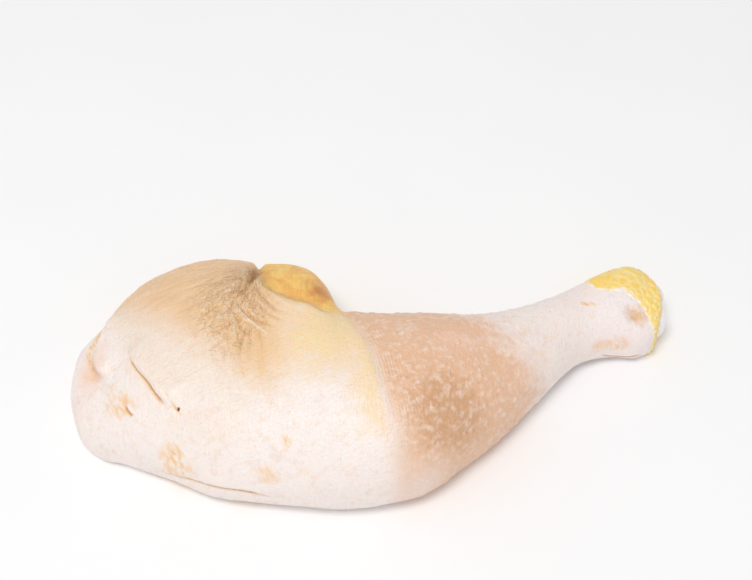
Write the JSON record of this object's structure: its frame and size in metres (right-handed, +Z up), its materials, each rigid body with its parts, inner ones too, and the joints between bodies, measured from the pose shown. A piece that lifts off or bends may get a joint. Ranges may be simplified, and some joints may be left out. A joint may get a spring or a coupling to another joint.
{
  "type": "raw chicken leg quarter",
  "caption": "Raw chicken leg quarter, thigh and drumstick in one, lying skin side up, with bare thigh flesh below, the thigh bone's ball and the cut hock.",
  "frame": {"origin": "on the surface that the leg lies on, under the middle of the leg's outline", "axes": "+X from the hip end of the thigh to the cut hock, +Y towards the back of the knee, +Z up out of the skin side"},
  "size_m": [0.2184, 0.102, 0.0433],
  "materials": {
    "skin": "moist raw skin, pale cream to tan, soft satin sheen",
    "thigh_meat": "wet raw dark meat, deep pink red with pale yellow fat",
    "femur_head": "wet white gristle on bone",
    "hock_gristle": "wet pale gristle on bone"
  },
  "bodies": {
    "root": {"leg": "skin", "thigh_meat": "thigh_meat", "femur_head": "femur_head", "hock_gristle": "hock_gristle"}
  },
  "joints": []
}
